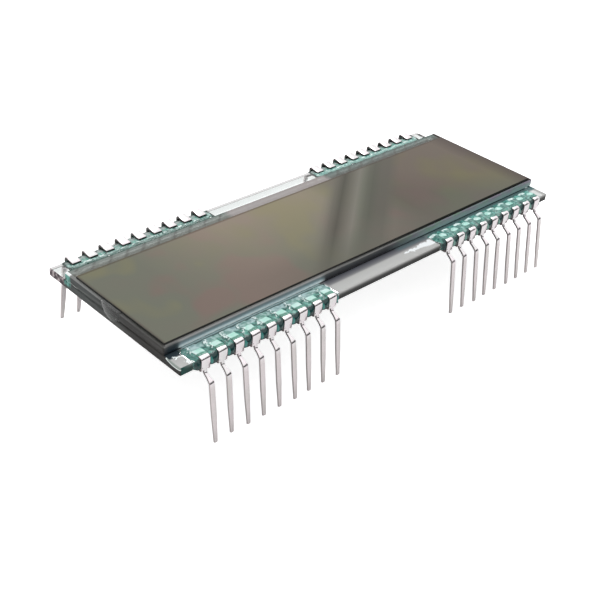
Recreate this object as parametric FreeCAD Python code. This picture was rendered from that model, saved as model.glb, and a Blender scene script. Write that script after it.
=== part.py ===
import FreeCAD, Part
import math
import os

# Segment liquid-crystal display with clip-on pins, in millimetres.
# The pins' tips stand on z = 0, the long side runs along X and the viewing face looks up.
# The lower glass is called the rear glass, the upper one the front glass.

Vec = FreeCAD.Vector
UP = Vec(0, 0, 1)

# Glass cell: the end margin runs from the last pin's middle to the glass's end
glass_thickness = 1.1
end_margin = 3.25
rear_glass_width = 26.0
front_ledge = 3.0
back_ledge = 3.5
corner_radius = 0.2
edge_chamfer = 0.12
cell_gap = 0.05

# Perimeter seal, its fill port and the drop of adhesive that closes the port
seal_inset = 0.4
seal_width = 0.9
seal_corner_radius = 3.0
port_width = 2.0
port_offset = 0.1
port_channel_depth = 0.5
plug_radius = 1.85
plug_bulge = 0.35
plug_lap = 0.15

# Crossover dots in the free corners outside the seal
dot_diameter = 0.9
dot_inset = 0.65

# Polarizing films
film_thickness = 0.3
film_left_margin = 0.35
film_right_margin = 0.65
film_front_margin = 0.35
film_back_margin = 2.0

# Pin pattern: one group at each end of both long sides
pin_pitch = 2.54
pins_per_group = 9
missing_pins = 8

# Clip pin, stamped from one strip and folded
sheet = 0.3
head_width = 1.28
edge_clearance = 0.22
jaw_reach = 1.35
jaw_foot = 0.4
jaw_rise = 0.25
prong_width = 0.26
prong_reach = 1.1
leg_width = 0.70
leg_tip_width = 0.46
leg_straight = 4.4
neck_drop = 0.62
crank_out = 1.19
crank_drop = 0.76
leg_splay = 1.19
standoff = 9.3

# Adhesive beads: the front ones cover the jaws, the back ones only their inner ends
bead_overrun = 0.9
bead_reach = 2.6
bead_inner_height = 0.12
bead_over_jaw = 0.32
bead_crest_width = 0.75
bead_bulge = 0.38
bead_side_height = 0.5
bead_groove_depth = 0.22
bead_groove_radius = 0.9
open_jaw = 1.13
bead_between_jaws = 0.05

# Heights and places that follow
rear_glass_z = standoff
gap_z = rear_glass_z + glass_thickness
front_glass_z = gap_z + cell_gap
front_glass_top = front_glass_z + glass_thickness
front_glass_width = rear_glass_width - front_ledge - back_ledge
cell_middle = (front_ledge - back_ledge) / 2
glass_edge = rear_glass_width / 2
plate_out = edge_clearance + sheet / 2
first_pin_x = (missing_pins + 1) * pin_pitch / 2
group_span = (pins_per_group - 1) * pin_pitch
glass_length = 2 * (first_pin_x + group_span + end_margin)


def rounded_plate(length, width, thickness, place, radius):
    """A flat plate whose underside is centred on the place, with its upright edges rounded."""
    plate = Part.makeBox(length, width, thickness, place - Vec(length / 2, width / 2, 0))
    return plate.makeFillet(radius, [e for e in plate.Edges if is_upright(e)])


def is_upright(edge):
    """True for an edge that runs straight up."""
    low, high = edge.Vertexes[0].Point, edge.Vertexes[-1].Point
    return abs(low.z - high.z) > 1e-6 and math.hypot(low.x - high.x, low.y - high.y) < 1e-6


def ground_plate(width, place):
    """A glass plate with rounded corners and a small ground bevel along every edge."""
    plate = rounded_plate(glass_length, width, glass_thickness, place, corner_radius)
    rims = [e for e in plate.Edges if not is_upright(e)]
    return plate.makeChamfer(edge_chamfer, rims)


def make_rear_glass():
    return ground_plate(rear_glass_width, Vec(0, 0, rear_glass_z))


def make_front_glass():
    return ground_plate(front_glass_width, Vec(0, cell_middle, front_glass_z))


def seal_outline(inset, radius):
    """The layer between the plates, drawn in from the front glass's edge."""
    length, width = glass_length - 2 * inset, front_glass_width - 2 * inset
    return rounded_plate(length, width, cell_gap, Vec(0, cell_middle, gap_z), radius)


def port_channel():
    """The fill port: a slot through the seal in the middle part of the left short side."""
    length = seal_inset + seal_width
    corner = Vec(-glass_length / 2, port_offset - port_width / 2, gap_z)
    return Part.makeBox(length, port_width, cell_gap, corner)


def make_seal_frame():
    ring = seal_outline(seal_inset, seal_corner_radius)
    ring = ring.cut(seal_outline(seal_inset + seal_width, seal_corner_radius - seal_width))
    return ring.cut(port_channel())


def plug_tongue():
    """The part of the plug that is drawn into the fill port."""
    corner = Vec(-glass_length / 2, port_offset - port_width / 2, gap_z)
    return Part.makeBox(port_channel_depth, port_width, cell_gap, corner)


def make_liquid_crystal():
    pool = seal_outline(seal_inset + seal_width, seal_corner_radius - seal_width)
    return pool.fuse(port_channel()).cut(plug_tongue()).removeSplitter()


def make_end_seal(solids):
    """A shallow drop over the fill port, which hangs from the upper rim and laps a little over it."""
    ball_radius = (plug_radius ** 2 + plug_bulge ** 2) / (2 * plug_bulge)
    rim = Vec(-glass_length / 2, port_offset, front_glass_top)
    drop = Part.makeSphere(ball_radius, rim + Vec(ball_radius - plug_bulge, 0, 0), UP)
    drop = drop.common(Part.makeBox(
        plug_bulge + film_left_margin, 2 * plug_radius, plug_radius + plug_lap,
        rim - Vec(plug_bulge, plug_radius, plug_radius),
    ))
    return drop.fuse(plug_tongue()).cut(solids)


def make_transfer_dots():
    """Four conductive dots that join the two plates' electrodes."""
    dots = []
    for side_x in (-1, 1):
        for side_y in (-1, 1):
            x = side_x * (glass_length / 2 - dot_inset)
            y = cell_middle + side_y * (front_glass_width / 2 - dot_inset)
            dots.append(Part.makeCylinder(dot_diameter / 2, cell_gap, Vec(x, y, gap_z)))
    return Part.makeCompound(dots)


def polarizer(z):
    """A film with a narrow bare margin of glass on three sides and a wide one at the back."""
    left = -glass_length / 2 + film_left_margin
    right = glass_length / 2 - film_right_margin
    front = -glass_edge + front_ledge + film_front_margin
    back = glass_edge - back_ledge - film_back_margin
    return Part.makeBox(right - left, back - front, film_thickness, Vec(left, front, z))


def make_front_polarizer():
    return polarizer(front_glass_top)


def make_rear_polarizer():
    return polarizer(rear_glass_z - film_thickness)


def side_point(out, up):
    """A point of a pin's side view: out from the rear glass's front edge, up from its underside."""
    return Vec(0, -glass_edge - out, rear_glass_z + up)


def rounded_run(points, radii):
    """Straight lines through the points, with a tangent arc at each inner one whose radius isn't zero."""
    edges = []
    start = points[0]
    for before, corner, after, radius in zip(points, points[1:], points[2:], radii):
        back = (before - corner).normalize()
        on = (after - corner).normalize()
        half_turn = (math.pi - back.getAngle(on)) / 2
        reach = radius * math.tan(half_turn)
        edges.append(Part.makeLine(start, corner + back * reach))
        start = corner + on * reach
        if radius > 0:
            inward = (back + on).normalize()
            middle = corner + inward * (radius / math.cos(half_turn) - radius)
            edges.append(Part.Arc(corner + back * reach, middle, start).toShape())
    edges.append(Part.makeLine(start, points[-1]))
    return edges


def offset_points(points, distance):
    """The same run of lines moved sideways, with its corners where the moved lines cross."""
    across = Vec(1, 0, 0)
    sides = [(b - a).normalize().cross(across) for a, b in zip(points, points[1:])]
    moved = [points[0] + sides[0] * distance]
    for point, first, second in zip(points[1:], sides, sides[1:]):
        moved.append(point + (first + second) * (distance / (1 + first.dot(second))))
    moved.append(points[-1] + sides[-1] * distance)
    return moved


def folded_strip(points, outer_radius, width, x):
    """A strip of the pin's sheet, folded along the points: sharp inside each fold, rounded outside."""
    across = Vec(1, 0, 0)
    turns = []
    for before, corner, after in zip(points, points[1:], points[2:]):
        turns.append((corner - before).cross(after - corner).dot(across))
    left_points = offset_points(points, sheet / 2)
    right_points = offset_points(points, -sheet / 2)
    edges = rounded_run(left_points, [0 if turn < 0 else outer_radius for turn in turns])
    edges.append(Part.makeLine(left_points[-1], right_points[-1]))
    edges += rounded_run(right_points, [0 if turn > 0 else outer_radius for turn in turns])
    edges.append(Part.makeLine(right_points[0], left_points[0]))
    face = Part.Face(Part.Wire(Part.__sortEdges__(edges)))
    face.translate(Vec(x - width / 2, 0, 0))
    return face.extrude(Vec(width, 0, 0))


def pin_head():
    """The upper jaw, which rises off its contact foot to the fold, and the upright plate."""
    contact = glass_thickness + sheet / 2
    points = [
        side_point(-jaw_reach, contact),
        side_point(-jaw_reach + jaw_foot, contact),
        side_point(plate_out, contact + jaw_rise),
        side_point(plate_out, sheet),
    ]
    return folded_strip(points, sheet, head_width, 0)


def pin_prong(x):
    """One of the two narrow lower jaws, folded square in under the glass beside the neck."""
    points = [
        side_point(plate_out, glass_thickness / 2),
        side_point(plate_out, -sheet / 2),
        side_point(-prong_reach, -sheet / 2),
    ]
    return folded_strip(points, 0, prong_width, x)


def pin_leg():
    """The neck, the crank that brings the leg out, and the leg, tapered to its tip."""
    knee_out = plate_out + crank_out
    knee_up = -neck_drop - crank_drop
    points = [
        side_point(plate_out, glass_thickness / 2),
        side_point(plate_out, -neck_drop),
        side_point(knee_out, knee_up),
        side_point(knee_out + leg_splay, -standoff - sheet),
    ]
    leg = folded_strip(points, sheet, leg_width, 0)
    top, tip = rear_glass_z + glass_thickness, 0.0
    taper_start = rear_glass_z + knee_up - leg_straight
    half, tip_half = leg_width / 2, leg_tip_width / 2
    outline = [(-half, top), (-half, taper_start), (-tip_half, tip), (tip_half, tip), (half, taper_start), (half, top)]
    reach = -glass_edge - knee_out - leg_splay - sheet
    corners = [Vec(x, reach, z) for x, z in outline]
    blank = Part.Face(Part.makePolygon(corners + corners[:1])).extrude(Vec(0, -reach, 0))
    return leg.common(blank)


def make_front_pin():
    """One whole pin on the front edge, with its middle on x = 0."""
    prong_x = (head_width - prong_width) / 2
    parts = [pin_prong(-prong_x), pin_prong(prong_x), pin_leg()]
    return pin_head().multiFuse(parts).removeSplitter()


def covering_crest():
    """The top of a front bead: over the whole jaw, down to the fold."""
    crest = glass_thickness + sheet + bead_over_jaw
    return [
        side_point(-jaw_reach, crest),
        side_point(-jaw_reach + bead_crest_width, crest),
        side_point(0, glass_thickness + sheet + jaw_rise / 2),
    ]


def open_crest():
    """The top of a back bead: over the jaw's inner end only, then thin between the open jaws."""
    return [
        side_point(-jaw_reach, glass_thickness + sheet + bead_over_jaw / 2),
        side_point(-open_jaw, glass_thickness + sheet),
        side_point(-open_jaw + jaw_foot, glass_thickness + bead_between_jaws),
        side_point(0, glass_thickness + bead_between_jaws),
    ]


def bead_section(crest):
    """A bead's side view: from its inner end on the ledge, over its crest and round the glass's edge."""
    middle = glass_thickness / 2
    outline = [side_point(-bead_reach, glass_thickness + bead_inner_height)]
    outline += crest
    outline += [
        side_point(bead_bulge, middle + bead_side_height / 2),
        side_point(bead_bulge, middle - bead_side_height / 2),
        side_point(-edge_chamfer, 0),
        side_point(-jaw_reach, middle),
        side_point(-bead_reach, middle),
    ]
    return Part.Face(Part.makePolygon(outline + outline[:1]))


def bead_grooves():
    """Troughs across the top of a front bead, one between each two pins."""
    axis_up = glass_thickness + sheet + bead_over_jaw + bead_groove_radius - bead_groove_depth
    reach = bead_bulge + jaw_reach + bead_reach
    grooves = []
    for number in range(pins_per_group - 1):
        x = (number + 0.5) * pin_pitch - group_span / 2
        start = side_point(bead_bulge, axis_up) + Vec(x, 0, 0)
        grooves.append(Part.makeCylinder(bead_groove_radius, reach, start, Vec(0, 1, 0)))
    return grooves


def make_bead(crest, tools):
    """The bead of a whole front group whose middle is on x = 0, set round its pins."""
    length = group_span + head_width + 2 * bead_overrun
    face = bead_section(crest)
    face.translate(Vec(-length / 2, 0, 0))
    return face.extrude(Vec(length, 0, 0)).cut(tools)


def half_turn(shape):
    """The same shape on the opposite long side."""
    turned = shape.copy()
    turned.rotate(Vec(0, 0, 0), UP, 180)
    return turned


def group_middle(side):
    """The middle of a front group: side is -1 at the left end and 1 at the right."""
    return Vec(side * (first_pin_x + group_span / 2), 0, 0)


def pin_places():
    """Each pin's place along its group, from the left."""
    return [Vec(number * pin_pitch - group_span / 2, 0, 0) for number in range(pins_per_group)]


def make_groups(glasses):
    """Every pin and bead: each group's pins are numbered from the left."""
    pin = make_front_pin()
    tools = [glasses] + [pin.translated(place) for place in pin_places()]
    front_bead = make_bead(covering_crest(), tools + bead_grooves())
    back_bead = make_bead(open_crest(), tools)
    parts = {}
    for side, end in ((-1, "left"), (1, "right")):
        middle = group_middle(side)
        parts["glue_front_" + end] = front_bead.translated(middle)
        parts["glue_back_" + end] = half_turn(back_bead.translated(-middle))
        for number, place in enumerate(pin_places(), 1):
            label = end + "_" + str(number)
            parts["pin_front_" + label] = pin.translated(middle + place)
            parts["pin_back_" + label] = half_turn(pin.translated(-middle - place))
    return parts


def build():
    """All sub-parts by name."""
    rear_glass = make_rear_glass()
    front_glass = make_front_glass()
    glasses = Part.makeCompound([rear_glass, front_glass])
    seal_frame = make_seal_frame()
    liquid_crystal = make_liquid_crystal()
    parts = {
        "rear_glass": rear_glass,
        "front_glass": front_glass,
        "seal_frame": seal_frame,
        "liquid_crystal": liquid_crystal,
        "end_seal": make_end_seal([glasses, seal_frame, liquid_crystal]),
        "transfer_dots": make_transfer_dots(),
        "front_polarizer": make_front_polarizer(),
        "rear_polarizer": make_rear_polarizer(),
    }
    parts.update(make_groups(glasses))
    return parts


os.makedirs("parts", exist_ok=True)
for name, shape in build().items():
    shape.exportStep("parts/" + name + ".step")
    print(name, "solids", len(shape.Solids), "volume", round(shape.Volume, 4), "valid", shape.isValid())
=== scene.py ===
"""Looks of the segment LCD: finishes of its solids, finer pins and adhesive, the light and the camera."""
import math
import random

import bpy
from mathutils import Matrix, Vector, noise as field

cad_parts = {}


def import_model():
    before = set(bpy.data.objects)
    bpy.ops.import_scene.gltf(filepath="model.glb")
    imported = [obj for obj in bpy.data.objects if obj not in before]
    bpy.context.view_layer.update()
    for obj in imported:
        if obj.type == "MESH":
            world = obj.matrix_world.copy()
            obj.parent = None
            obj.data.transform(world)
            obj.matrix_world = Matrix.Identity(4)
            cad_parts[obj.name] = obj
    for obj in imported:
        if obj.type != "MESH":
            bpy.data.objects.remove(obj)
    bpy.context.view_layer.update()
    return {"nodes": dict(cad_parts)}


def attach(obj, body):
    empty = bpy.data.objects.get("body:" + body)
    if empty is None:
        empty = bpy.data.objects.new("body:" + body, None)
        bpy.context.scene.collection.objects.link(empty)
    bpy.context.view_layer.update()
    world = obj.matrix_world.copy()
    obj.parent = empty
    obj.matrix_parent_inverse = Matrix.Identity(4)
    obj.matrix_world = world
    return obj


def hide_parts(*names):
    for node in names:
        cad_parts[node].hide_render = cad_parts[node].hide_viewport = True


MM = 0.001

# The camera stands at the front left corner, 30 degrees above the floor
CAMERA_PLACE = (-93.82 * MM, -84.62 * MM, 82.11 * MM)
CAMERA_TURN = (0.9818, -0.0813, -0.7669)
CAMERA_LENS = 63.45
CAMERA_SENSOR = 36.0

FLOOR_SIZE = 3.0

# Sizes shared with the solids, in millimetres
PITCH = 2.54
PINS = 9
FIRST_PIN = 11.43
SPAN = (PINS - 1) * PITCH
GROUP_MIDDLE = FIRST_PIN + SPAN / 2
GLASS = 1.1
GLASS_EDGE = 13.0
UNDERSIDE = 9.3
REAR_TOP = UNDERSIDE + GLASS
FRONT_UNDER = 10.45
FRONT_TOP = 11.55

# The pin's strip: thickness, widths, and places as out from the rear glass's edge and up from its underside
SHEET = 0.3
HEAD = 1.28
NECK = 0.44
LEG = 0.70
LEG_TIP = 0.46
JAW_TIP_OUT = -1.35
JAW_BEND_OUT = -0.95
JAW_UP = 1.25
PLATE_OUT = 0.37
PLATE_TOP = 1.5
SHOULDER_TOP = -0.12
SHOULDER_FOOT = -0.17
PLATE_PLACES = (0.6, 0.3, 0.06, SHOULDER_TOP, SHOULDER_FOOT, -0.25)
NECK_UP = -0.62
KNEE_OUT = 1.56
KNEE_UP = -1.38
TIP_OUT = 2.707
TIP_UP = -9.27
TAPER_LENGTH = 4.4
FOLD_RADII = (0.3, 0.32, 0.5, 0.5)
PRONG_LINE = ((PLATE_OUT, 0.3), (PLATE_OUT, -0.22), (-1.1, -0.17))
PRONG_RADIUS = 0.17
PRONG_WIDTH = 0.26
PRONG_OFFSET = 0.505

# The beads' skin: its rings along X, the steps of one ring, and how far it stands off the glass
BEAD_OVERRUN = 0.9
RING_SPACING = 0.09
SKIN_STEPS = 48
ON_GLASS = 0.004


def new_material(name):
    """An empty node material, with its tree and its output."""
    material = bpy.data.materials.new(name)
    material.use_nodes = True
    tree = material.node_tree
    tree.nodes.clear()
    output = tree.nodes.new("ShaderNodeOutputMaterial")
    return material, tree, output


def add(tree, kind, **inputs):
    """A node with some of its sockets set or linked, by socket name with _ for a space."""
    node = tree.nodes.new(kind)
    for name, value in inputs.items():
        socket = node.inputs[name.replace("_", " ")]
        if isinstance(value, bpy.types.NodeSocket):
            tree.links.new(value, socket)
        else:
            socket.default_value = value
    return node


def coordinates(tree, scale=(1.0, 1.0, 1.0), turn=0.0):
    """Object coordinates in millimetres, turned about Z and then stretched."""
    place = tree.nodes.new("ShaderNodeTexCoord")
    turned = add(tree, "ShaderNodeMapping", Vector=place.outputs["Object"], Rotation=(0.0, 0.0, turn))
    stretched = add(tree, "ShaderNodeMapping", Vector=turned.outputs["Vector"], Scale=[s / MM for s in scale])
    return stretched.outputs["Vector"]


def noise(tree, vector, scale, detail=3.0, roughness=0.5):
    """A noise field, about 0.3 to 0.7."""
    node = add(tree, "ShaderNodeTexNoise", Vector=vector, Scale=scale, Detail=detail, Roughness=roughness)
    return node.outputs["Fac"]


def ramp(tree, factor, stops):
    """A colour ramp through (position, colour) stops."""
    node = add(tree, "ShaderNodeValToRGB", Fac=factor)
    elements = node.color_ramp.elements
    while len(elements) < len(stops):
        elements.new(0.5)
    for element, (position, colour) in zip(elements, stops):
        element.position = position
        element.color = (*colour, 1.0)
    return node.outputs["Color"]


def bump(tree, height, strength, distance):
    """The surface's direction where it follows small heights."""
    return add(tree, "ShaderNodeBump", Height=height, Strength=strength, Distance=distance).outputs["Normal"]


def rising(tree, value, start, end, full=1.0):
    """0 up to the start, full from the end on."""
    return between(tree, value, 0.0, full, start, end)


def falling(tree, value, start, end, full=1.0):
    """Full up to the start, 0 from the end on."""
    return between(tree, value, full, 0.0, start, end)


def between(tree, factor, low, high, start=0.0, end=1.0):
    """Maps start..end on to low..high, held at both ends."""
    node = add(tree, "ShaderNodeMapRange", Value=factor,
               From_Min=start, From_Max=end, To_Min=low, To_Max=high)
    return node.outputs["Result"]


def combine(tree, operation, first, second=0.0):
    """A Math node on sockets or plain values."""
    node = tree.nodes.new("ShaderNodeMath")
    node.operation = operation
    for socket, value in zip(node.inputs, (first, second)):
        if isinstance(value, float):
            socket.default_value = value
        else:
            tree.links.new(value, socket)
    return node.outputs[0]


def product(tree, first, *others):
    """All values multiplied."""
    for other in others:
        first = combine(tree, "MULTIPLY", first, other)
    return first


def total(tree, first, *others):
    """All values added."""
    for other in others:
        first = combine(tree, "ADD", first, other)
    return first


def less(tree, first, second):
    """The first value less the second."""
    return combine(tree, "SUBTRACT", first, second)


def facing(tree, axis):
    """How far a face looks along an axis, from -1 to 1, by the face's own direction."""
    place = tree.nodes.new("ShaderNodeNewGeometry")
    return add(tree, "ShaderNodeSeparateXYZ", Vector=place.outputs["True Normal"]).outputs[axis]


def uprightness(tree):
    """0 on level faces, 1 on upright ones."""
    return falling(tree, combine(tree, "ABSOLUTE", facing(tree, "Z")), 0.0, 1.0)


def position(tree):
    """The place on the part in millimetres, as three sockets."""
    place = tree.nodes.new("ShaderNodeTexCoord")
    parts = add(tree, "ShaderNodeSeparateXYZ", Vector=place.outputs["Object"])
    return [combine(tree, "DIVIDE", parts.outputs[axis], MM) for axis in "XYZ"]


def band(tree, value, low, high, soft):
    """1 where the value lies between low and high, with soft borders."""
    half = soft / 2
    return product(tree, rising(tree, value, low - half, low + half),
                   falling(tree, value, high - half, high + half))


def position_along(tree, x, y, share_x, share_y):
    """The place along a level direction."""
    return total(tree, product(tree, x, share_x), product(tree, y, share_y))


def wandering(tree, scale, reach, start=0.3):
    """A length that wanders between -reach and reach."""
    return between(tree, noise(tree, coordinates(tree), scale, 2.0), -reach, reach, start, 1.0 - start)


def blend(tree, factor, first, second):
    """Mixes two colours, given as sockets or as plain values."""
    node = tree.nodes.new("ShaderNodeMix")
    node.data_type = "RGBA"
    tree.links.new(factor, node.inputs["Factor"])
    for socket, value in zip([s for s in node.inputs if s.type == "RGBA"], (first, second)):
        set_colour(tree, socket, value)
    return [s for s in node.outputs if s.type == "RGBA"][0]


def set_colour(tree, socket, value):
    """Sets a colour socket to a plain value or links it."""
    if isinstance(value, tuple):
        socket.default_value = (*value, 1.0)
    else:
        tree.links.new(value, socket)


def mix(tree, factor, first, second):
    """Mixes two shaders."""
    node = add(tree, "ShaderNodeMixShader", Fac=factor)
    tree.links.new(first, node.inputs[1])
    tree.links.new(second, node.inputs[2])
    return node.outputs["Shader"]


def veiled(tree, body, veils):
    """A shader under veils of plain colour, given as (colour, share) from the lowest up."""
    for colour, share in veils:
        veil = tree.nodes.new("ShaderNodeBsdfDiffuse")
        set_colour(tree, veil.inputs["Color"], colour)
        body = mix(tree, share, body, veil.outputs["BSDF"])
    return body


def make_tin():
    """Bright tin plate, rolled along the strip, with fine handling marks; the legs below the knee are painted
    darker as painted shade, and the cut edges are duller, with painted shade on them from the knee up.
    """
    material, tree, output = new_material("tinned_metal")
    cloud = noise(tree, coordinates(tree, (1.0, 1.0, 0.35)), 0.9, 4.0)
    _, y, z = position(tree)
    # The head is bright; the legs below the knee are painted darker, as painted shade
    head = ramp(tree, cloud, [(0.35, (0.80, 0.79, 0.79)), (0.6, (0.88, 0.81, 0.84))])
    shaded_shank = ramp(tree, cloud, [(0.35, (0.66, 0.63, 0.62)), (0.6, (0.74, 0.68, 0.69))])
    tin_with_shaded_legs = blend(tree, rising(tree, z, 7.2, 8.0), shaded_shank, head)
    # The strip's cut edges look along X, and along Y at the jaws' tips
    sides, ends = [rising(tree, combine(tree, "ABSOLUTE", facing(tree, axis)), 0.6, 0.8) for axis in "XY"]
    tips = falling(tree, combine(tree, "ABSOLUTE", y), 11.8, 12.0)
    cut = combine(tree, "MAXIMUM", sides, product(tree, ends, tips))
    # From the knee up to the jaws the cut edges carry painted shade, darker on the back pins; lower down they
    # are only duller metal
    crank = band(tree, z, UNDERSIDE + KNEE_UP, REAR_TOP + 0.6, 0.5)
    cut_edge_shade = blend(tree, rising(tree, y, -1.0, 1.0), (0.24, 0.21, 0.21), (0.10, 0.09, 0.09))
    dull_and_shaded_cut = blend(tree, crank, (0.66, 0.60, 0.60), cut_edge_shade)
    polish = between(tree, cloud, 0.13, 0.24, 0.3, 0.7)
    grain = noise(tree, coordinates(tree, (6.0, 6.0, 0.8)), 1.0, 2.0)
    shader = add(tree, "ShaderNodeBsdfPrincipled", Metallic=1.0, Base_Color=blend(tree, cut, tin_with_shaded_legs, dull_and_shaded_cut),
                 Roughness=combine(tree, "MAXIMUM", polish, product(tree, cut, 0.4)),
                 Normal=bump(tree, grain, 0.10, 0.01 * MM))
    tree.links.new(shader.outputs["BSDF"], output.inputs["Surface"])
    return material


def front_edge_painted_light(tree, x, z, streaks):
    """The ground front edges in painted light: a painted highlight along the arris, painted shade in the
    middle, painted light through the adhesive at both ends and painted shade at the left corner.
    """
    ragged = between(tree, streaks, -0.05, 0.05, 0.3, 0.7)
    height = rising(tree, total(tree, z, ragged), REAR_TOP, FRONT_TOP + 0.05)
    plain = ramp(tree, height, [
        (0.04, (0.060, 0.062, 0.068)), (0.25, (0.028, 0.031, 0.035)), (0.5, (0.045, 0.049, 0.054)),
        (0.8, (0.070, 0.073, 0.075)), (0.87, (0.13, 0.13, 0.13)), (0.95, (0.18, 0.18, 0.175))])
    left = ramp(tree, height, [
        (0.04, (0.66, 0.84, 0.86)), (0.13, (0.86, 0.98, 0.99)), (0.27, (0.84, 0.96, 0.98)),
        (0.38, (0.60, 0.74, 0.78)), (0.5, (0.32, 0.42, 0.46)), (0.6, (0.22, 0.28, 0.31)),
        (0.72, (0.18, 0.22, 0.24)), (0.86, (0.27, 0.28, 0.28)), (0.95, (0.30, 0.30, 0.30))])
    right = ramp(tree, height, [
        (0.04, (0.24, 0.39, 0.40)), (0.12, (0.27, 0.41, 0.42)), (0.25, (0.31, 0.44, 0.44)),
        (0.42, (0.31, 0.42, 0.41)), (0.6, (0.26, 0.32, 0.31)), (0.84, (0.12, 0.13, 0.12)),
        (0.95, (0.03, 0.032, 0.03))])
    # Painted reflections, mottled green and mauve, over the upper part at the right end
    mottle = noise(tree, coordinates(tree, (0.35, 0.35, 1.2)), 1.0, 3.0, 0.6)
    cast = ramp(tree, mottle, [
        (0.38, (0.22, 0.36, 0.26)), (0.5, (0.27, 0.36, 0.36)), (0.62, (0.31, 0.28, 0.36))])
    right = blend(tree, rising(tree, height, 0.2, 0.5, 0.6), right, cast)
    lit = blend(tree, rising(tree, x, 2.0, 13.0), plain, right)
    lit = blend(tree, band(tree, x, -32.9, -9.8, 1.0), lit, left)
    corner = product(tree, band(tree, x, -34.5, -32.9, 0.3), between(tree, height, 0.92, 0.3, 0.3, 0.9))
    return blend(tree, corner, lit, (0.016, 0.030, 0.040))


def left_edge_painted_light(tree, y, z, streaks):
    """The ground left edges in painted light, lighter toward the back, with a painted highlight along the
    arris; also the arris highlight alone.
    """
    near = ramp(tree, streaks, [
        (0.35, (0.022, 0.021, 0.020)), (0.55, (0.036, 0.034, 0.032)), (0.68, (0.062, 0.060, 0.057))])
    far = ramp(tree, streaks, [
        (0.35, (0.040, 0.046, 0.044)), (0.55, (0.060, 0.067, 0.065)), (0.68, (0.12, 0.13, 0.125))])
    face = blend(tree, rising(tree, y, -3.5, 5.0), near, far)
    # The arris's painted highlight, paler toward the back and white at the back corner
    arris = blend(tree, rising(tree, y, -5.0, 5.0), (0.085, 0.085, 0.080), (0.24, 0.245, 0.24))
    arris = blend(tree, rising(tree, y, 8.3, 8.5), arris, (0.93, 0.96, 0.96))
    # Painted light on the tail of the rear glass behind the front glass, and a painted teal glow where it
    # begins
    speckle = noise(tree, coordinates(tree, (1.0, 1.0, 0.5)), 2.2, 2.0)
    tail = ramp(tree, speckle, [
        (0.42, (0.035, 0.024, 0.030)), (0.50, (0.15, 0.11, 0.125)), (0.60, (0.50, 0.44, 0.45))])
    face = blend(tree, rising(tree, y, 9.5, 9.7, 0.95), face, tail)
    teal = ramp(tree, speckle, [(0.40, (0.02, 0.10, 0.085)), (0.58, (0.16, 0.44, 0.38))])
    glow = product(tree, band(tree, y, 8.3, 9.6, 0.3), rising(tree, z, 9.7, 10.0, 0.9))
    face = blend(tree, glow, face, teal)
    # The bead seen through the front corner is painted there, hanging from the top, lowest in its middle,
    # with a painted highlight along its rim
    corner_middle, corner_half, corner_sag = -12.0, 1.75, 0.34
    reach = product(tree, total(tree, y, -corner_middle), 1 / corner_half)
    sag = product(tree, less(tree, 1.0, product(tree, reach, reach)), corner_sag)
    rise = total(tree, less(tree, z, REAR_TOP), sag)
    corner = product(tree, falling(tree, y, -10.4, -10.3), falling(tree, z, REAR_TOP + 0.02, REAR_TOP + 0.03))
    face = blend(tree, product(tree, corner, rising(tree, rise, -0.03, 0.03, 0.95)), face, (0.33, 0.38, 0.35))
    face = blend(tree, product(tree, corner, band(tree, rise, -0.07, 0.05, 0.03)), face, (0.86, 0.93, 0.91))
    return blend(tree, rising(tree, z, FRONT_TOP - 0.14, FRONT_TOP - 0.10), face, arris), arris


def ground_edge_painted_light(tree, x, y, z):
    """The ground edges of both plates in painted light, and the left arris's painted highlight alone."""
    streaks = noise(tree, coordinates(tree, (0.10, 0.10, 1.6)), 1.0, 4.0, 0.6)
    # The rear glass's edges in painted light, paler toward their top, and painted teal at the front left end
    # as lit through the adhesive
    grey = ramp(tree, rising(tree, z, UNDERSIDE, REAR_TOP), [
        (0.0, (0.05, 0.05, 0.05)), (0.35, (0.022, 0.024, 0.023)), (0.58, (0.045, 0.046, 0.044)),
        (0.74, (0.13, 0.13, 0.125)), (0.88, (0.28, 0.28, 0.275)), (1.0, (0.50, 0.50, 0.49))])
    rear = blend(tree, falling(tree, x, -34.6, -32.0), grey, (0.008, 0.060, 0.050))
    front = front_edge_painted_light(tree, x, z, streaks)
    ahead = blend(tree, rising(tree, z, REAR_TOP, FRONT_UNDER + 0.01), rear, front)
    left, left_arris_highlight = left_edge_painted_light(tree, y, z, streaks)
    return blend(tree, falling(tree, facing(tree, "X"), -0.6, -0.3), ahead, left), left_arris_highlight


def bare_strip_painted_light(tree, x, y):
    """The wide bare strip behind the film in painted light: pale in the middle, with the back legs seen
    through it as dark lines of painted shade behind both groups, and a painted dark teal line along its back
    edge there.
    """
    lean_x, lean_y = 0.72, -0.694
    middle = band(tree, x, -9.5, 9.5, 1.0)
    across = position_along(tree, x, y, lean_x, lean_y)
    steps = combine(tree, "DIVIDE", across, lean_x * PITCH)
    pace = combine(tree, "FRACT", total(tree, steps, 40.12))
    # Painted shade of the back legs, seen through the glass
    leg_shade_marks = product(tree, band(tree, pace, 0.40, 0.60, 0.12), between(tree, middle, 0.6, 0.0))
    depth = rising(tree, y, 7.8, 9.2)
    ends = blend(tree, rising(tree, x, -4.0, 4.0),
                 blend(tree, depth, (0.165, 0.170, 0.150), (0.245, 0.275, 0.26)),
                 blend(tree, depth, (0.125, 0.125, 0.112), (0.165, 0.21, 0.20)))
    strip = blend(tree, leg_shade_marks, blend(tree, middle, ends, (0.36, 0.33, 0.325)), (0.12, 0.12, 0.11))
    # A painted dark teal line along the back edge behind both groups
    border = product(tree, rising(tree, y, 9.15, 9.3, 0.8), between(tree, x, 1.0, 0.35, -4.0, 4.0),
                     between(tree, middle, 1.0, 0.0))
    return blend(tree, border, strip, (0.07, 0.13, 0.11))


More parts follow.
